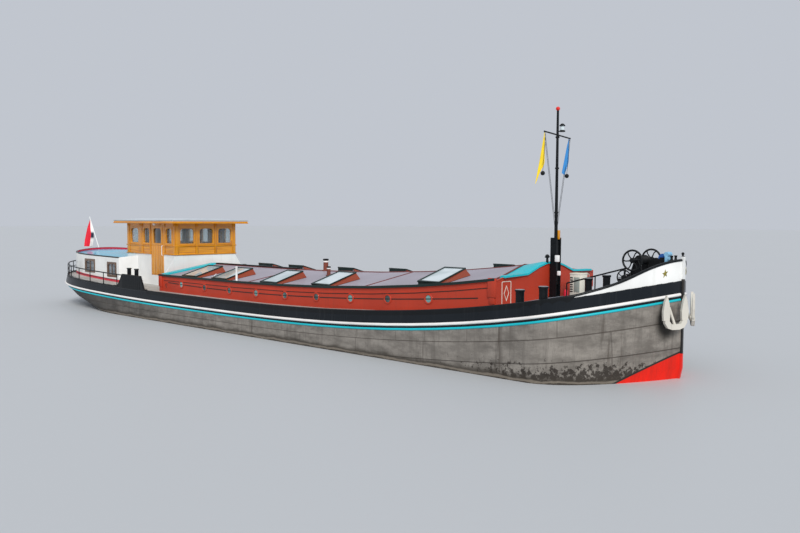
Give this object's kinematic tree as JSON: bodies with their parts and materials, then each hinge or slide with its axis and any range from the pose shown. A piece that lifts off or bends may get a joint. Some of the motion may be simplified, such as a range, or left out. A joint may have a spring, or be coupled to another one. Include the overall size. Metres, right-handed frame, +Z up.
{
  "type": "river barge",
  "caption": "Flat-bottomed steel inland cargo barge with a bluff bow, gabled hold covers, a wooden wheelhouse, a low aft cabin and a lowering mast.",
  "frame": {"origin": "centre of the bounding box at the flat bottom", "axes": "+X towards the bow, +Y to port, +Z up"},
  "size_m": [25.6742, 5.134, 6.785],
  "materials": {
    "hull_paint": "black topsides, red below the waterline, worn gloss",
    "strake_white": "white gloss",
    "strake_turquoise": "turquoise gloss",
    "black_steel": "black gloss, worn",
    "white_paint": "white gloss, lightly streaked",
    "red_paint": "red, faded",
    "cover_paint": "pale grey-lilac, matt",
    "skylight_wood": "varnished frame round pale glass",
    "turquoise_canvas": "taut canvas",
    "varnish": "varnished",
    "glass": "clear",
    "cabin_roof_paint": "light blue",
    "bronze": "cast",
    "engine_paint": "painted casting",
    "rusty_stack": "rust brown",
    "anchor_paint": "cream paint",
    "locker_paint": "cream paint",
    "staff_paint": "white paint",
    "cloth_yellow": "thin cloth",
    "cloth_blue": "thin cloth",
    "cloth_flag": "thin cloth in three bands"
  },
  "bodies": {
    "ship": {"hull": "hull_paint", "strake_white": "strake_white", "strake_turquoise": "strake_turquoise", "stem_bar": "black_steel", "bow_bulwark": "white_paint", "gunwale_cap": "black_steel", "stern_bulwark": "black_steel", "stern_rail": "black_steel", "engine": "engine_paint", "coaming_stbd": "red_paint", "coaming_port": "red_paint", "headboard_fore": "red_paint", "headboard_aft": "red_paint", "hatch_cover_fore": "cover_paint", "hatch_cover_mid": "cover_paint", "hatch_cover_aft": "cover_paint", "cap_fore": "turquoise_canvas", "cap_aft": "turquoise_canvas", "stack": "rusty_stack", "wheelhouse_base": "white_paint", "wheelhouse_front": "varnish", "wheelhouse_back": "varnish", "wheelhouse_side_stbd": "varnish", "wheelhouse_side_port": "varnish", "wheelhouse_roof": "varnish", "wheelhouse_glass_fore": "glass", "wheelhouse_glass_aft": "glass", "helm_console": "varnish", "cabin_walls": "white_paint", "cabin_roof": "cabin_roof_paint", "tabernacle": "black_steel", "windlass_frame": "black_steel", "anchor_stbd": "anchor_paint", "anchor_port": "anchor_paint", "rail_bollards_stbd": "black_steel", "rail_bollards_port": "black_steel", "fore_bollards_stbd": "black_steel", "fore_bollards_port": "black_steel", "locker": "locker_paint", "flagstaff": "staff_paint", "flag": "cloth_flag"},
    "propeller_body": {"propeller": "bronze"},
    "rudder_body": {"rudder": "black_steel"},
    "helm_wheel_body": {"helm_wheel": "varnish"},
    "mast_body": {"mast": "black_steel", "pennant_yellow": "cloth_yellow", "pennant_blue": "cloth_blue"},
    "windlass_shaft_body": {"windlass_shaft": "black_steel"},
    "door_stbd_body": {"wheelhouse_door_stbd": "varnish"},
    "door_port_body": {"wheelhouse_door_port": "varnish"},
    "lid_stbd_1_body": {"skylight_lid_stbd_1": "skylight_wood"},
    "lid_port_1_body": {"skylight_lid_port_1": "skylight_wood"},
    "lid_stbd_2_body": {"skylight_lid_stbd_2": "skylight_wood"},
    "lid_port_2_body": {"skylight_lid_port_2": "skylight_wood"},
    "lid_stbd_3_body": {"skylight_lid_stbd_3": "skylight_wood"},
    "lid_port_3_body": {"skylight_lid_port_3": "skylight_wood"},
    "lid_stbd_4_body": {"skylight_lid_stbd_4": "skylight_wood"},
    "lid_port_4_body": {"skylight_lid_port_4": "skylight_wood"},
    "lid_stbd_5_body": {"skylight_lid_stbd_5": "skylight_wood"},
    "lid_port_5_body": {"skylight_lid_port_5": "skylight_wood"}
  },
  "joints": [
    {"name": "propeller_spin", "type": "hinge", "parent": "ship", "child": "propeller_body", "pos_m": [-8.3521, 0, 0.44], "axis": [1, 0, 0], "continuous": true},
    {"name": "rudder_turn", "type": "hinge", "parent": "ship", "child": "rudder_body", "pos_m": [-8.8771, 0, 0.7], "axis": [0, 0, 1], "range_deg": [-35, 35]},
    {"name": "helm_turn", "type": "hinge", "parent": "ship", "child": "helm_wheel_body", "pos_m": [-4.8171, 0, 3.18], "axis": [1, 0, 0], "range_deg": [-350, 350]},
    {"name": "mast_lower", "type": "hinge", "parent": "ship", "child": "mast_body", "pos_m": [9.6729, 0, 3.7], "axis": [0, -1, 0], "range_deg": [0, 84]},
    {"name": "windlass_spin", "type": "hinge", "parent": "ship", "child": "windlass_shaft_body", "pos_m": [11.7529, 0, 3.4], "axis": [0, 1, 0], "continuous": true},
    {"name": "door_stbd_swing", "type": "hinge", "parent": "ship", "child": "door_stbd_body", "pos_m": [-5.7741, -1.223, 3.1], "axis": [0, 0, -1], "range_deg": [0, 95]},
    {"name": "door_port_swing", "type": "hinge", "parent": "ship", "child": "door_port_body", "pos_m": [-5.7741, 1.223, 3.1], "axis": [0, 0, 1], "range_deg": [0, 95]},
    {"name": "skylight_stbd_1_lift", "type": "hinge", "parent": "ship", "child": "lid_stbd_1_body", "pos_m": [7.5529, -0.988, 3.0761], "axis": [-1, 0, 0], "range_deg": [0, 60]},
    {"name": "skylight_port_1_lift", "type": "hinge", "parent": "ship", "child": "lid_port_1_body", "pos_m": [7.5529, 0.988, 3.0761], "axis": [1, 0, 0], "range_deg": [0, 60]},
    {"name": "skylight_stbd_2_lift", "type": "hinge", "parent": "ship", "child": "lid_stbd_2_body", "pos_m": [3.8829, -0.988, 2.8067], "axis": [-1, 0, 0], "range_deg": [0, 60]},
    {"name": "skylight_port_2_lift", "type": "hinge", "parent": "ship", "child": "lid_port_2_body", "pos_m": [3.8829, 0.988, 2.8067], "axis": [1, 0, 0], "range_deg": [0, 60]},
    {"name": "skylight_stbd_3_lift", "type": "hinge", "parent": "ship", "child": "lid_stbd_3_body", "pos_m": [1.7229, -0.988, 2.745], "axis": [-1, 0, 0], "range_deg": [0, 60]},
    {"name": "skylight_port_3_lift", "type": "hinge", "parent": "ship", "child": "lid_port_3_body", "pos_m": [1.7229, 0.988, 2.745], "axis": [1, 0, 0], "range_deg": [0, 60]},
    {"name": "skylight_stbd_4_lift", "type": "hinge", "parent": "ship", "child": "lid_stbd_4_body", "pos_m": [-0.6271, -0.988, 2.7228], "axis": [-1, 0, 0], "range_deg": [0, 60]},
    {"name": "skylight_port_4_lift", "type": "hinge", "parent": "ship", "child": "lid_port_4_body", "pos_m": [-0.6271, 0.988, 2.7228], "axis": [1, 0, 0], "range_deg": [0, 60]},
    {"name": "skylight_stbd_5_lift", "type": "hinge", "parent": "ship", "child": "lid_stbd_5_body", "pos_m": [-2.2071, -0.988, 2.7204], "axis": [-1, 0, 0], "range_deg": [0, 60]},
    {"name": "skylight_port_5_lift", "type": "hinge", "parent": "ship", "child": "lid_port_5_body", "pos_m": [-2.2071, 0.988, 2.7204], "axis": [1, 0, 0], "range_deg": [0, 60]}
  ],
  "couplings": [
    {"joint": "helm_turn", "follows": "rudder_turn", "ratio": 10}
  ]
}
